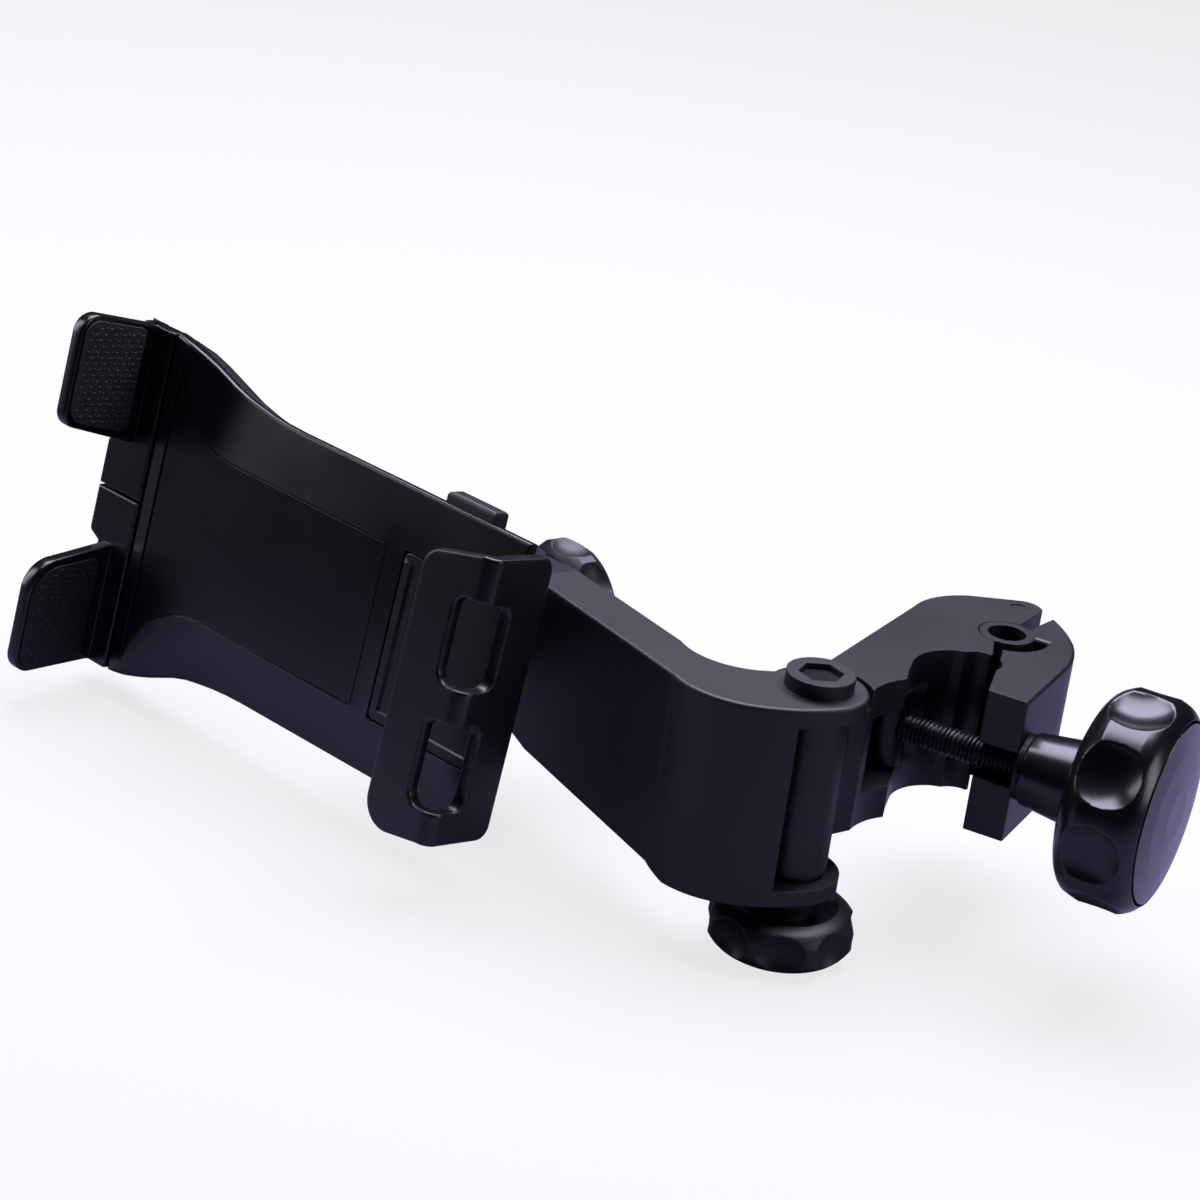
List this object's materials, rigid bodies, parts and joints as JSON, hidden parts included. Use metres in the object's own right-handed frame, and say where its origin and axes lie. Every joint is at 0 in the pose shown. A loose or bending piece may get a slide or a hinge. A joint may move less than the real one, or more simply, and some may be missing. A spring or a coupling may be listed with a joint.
{
  "type": "tablet holder",
  "caption": "Headrest tablet holder: hook clamp with swing-bolt knob, forked hinge arm, ball head, and tablet cradle with fixed claws and a sliding hooked jaw.",
  "frame": {"origin": "on the axis of the gripped headrest post, at mid-height of the clamp", "axes": "+Z along the post, upwards; the picture is seen looking along +Y with +X to the right"},
  "size_m": [0.3267, 0.1542, 0.1146],
  "materials": {
    "matte_black": "fine moulded texture",
    "satin_black": "satin",
    "gloss_black": "gloss",
    "rubber_black": "woven grid",
    "black_steel": "black oxide",
    "bright_steel": "zinc plated",
    "brass": "turned"
  },
  "bodies": {
    "clamp": {"clamp_body": "satin_black"},
    "swing_jaw": {"clamp_jaw": "satin_black"},
    "swing_bolt": {"trunnion": "black_steel", "clamp_rod": "black_steel"},
    "thrust": {"thrust_washer": "bright_steel"},
    "handwheel": {"clamp_knob": "gloss_black", "knob_insert": "brass", "knob_cap": "gloss_black"},
    "swing_arm": {"arm": "matte_black", "hinge_bolt": "black_steel", "hinge_washer": "satin_black", "socket_ring": "satin_black", "ring_screws": "black_steel", "pressure_cup": "satin_black"},
    "hinge_star": {"hinge_knob": "satin_black", "hinge_knob_insert": "brass"},
    "rear_star": {"rear_knob": "satin_black", "rear_screw": "black_steel"},
    "ball": {"ball_stud": "black_steel"},
    "cradle": {"front_cover": "gloss_black", "back_shell": "satin_black", "upper_claw": "gloss_black", "lower_claw": "gloss_black", "upper_pad": "rubber_black", "lower_pad": "rubber_black", "swivel_ring": "satin_black", "swivel_screws": "black_steel", "shell_screws": "black_steel"},
    "slider": {"jaw_slider": "gloss_black"},
    "button": {"release_button": "satin_black"}
  },
  "joints": [
    {"name": "jaw_swing", "type": "hinge", "parent": "clamp", "child": "swing_jaw", "pos_m": [0.0087, 0.0217, 0], "axis": [0, 0, 1], "range_deg": [0, 8]},
    {"name": "bolt_swing", "type": "hinge", "parent": "clamp", "child": "swing_bolt", "pos_m": [-0.0218, -0.002, 0.00025], "axis": [0, 0, 1], "range_deg": [-35, 0]},
    {"name": "knob_travel", "type": "slide", "parent": "swing_bolt", "child": "thrust", "axis": [0.9056, -0.4242, 0], "range_m": [0, 0.009]},
    {"name": "knob_turn", "type": "hinge", "parent": "thrust", "child": "handwheel", "pos_m": [-0.0218, -0.002, 0.00025], "axis": [0.9056, -0.4242, 0], "range_deg": [0, 2592]},
    {"name": "arm_swing", "type": "hinge", "parent": "clamp", "child": "swing_arm", "pos_m": [-0.0428, -0.0306, 0], "axis": [0, 0, 1], "range_deg": [-10, 55]},
    {"name": "hinge_knob_turn", "type": "hinge", "parent": "swing_arm", "child": "hinge_star", "pos_m": [-0.0428, -0.0306, -0.04], "axis": [0, 0, 1], "continuous": true},
    {"name": "rear_knob_turn", "type": "hinge", "parent": "swing_arm", "child": "rear_star", "pos_m": [-0.13799, 0.02733, -0.002], "axis": [0.7919, 0.6107, 0], "continuous": true},
    {"name": "ball_tilt", "type": "hinge", "parent": "swing_arm", "child": "ball", "pos_m": [-0.13799, 0.02733, -0.002], "axis": [0.757, -0.6534, 0], "range_deg": [-10, 10]},
    {"name": "cradle_turn", "type": "hinge", "parent": "ball", "child": "cradle", "pos_m": [-0.13799, 0.02733, -0.002], "axis": [-0.6439, -0.7459, 0.1702], "range_deg": [-90, 90]},
    {"name": "jaw_slide", "type": "slide", "parent": "cradle", "child": "slider", "axis": [0.757, -0.6534, 0], "range_m": [0, 0.06]},
    {"name": "button_press", "type": "slide", "parent": "cradle", "child": "button", "axis": [-0.1112, -0.1288, -0.9854], "range_m": [0, 0.002], "stiffness_N_per_m": 1200}
  ],
  "couplings": [
    {"joint": "knob_travel", "follows": "knob_turn", "m_per_rad": 0.00019894},
    {"joint": "jaw_swing", "follows": "knob_turn", "ratio": 0.0030864}
  ]
}
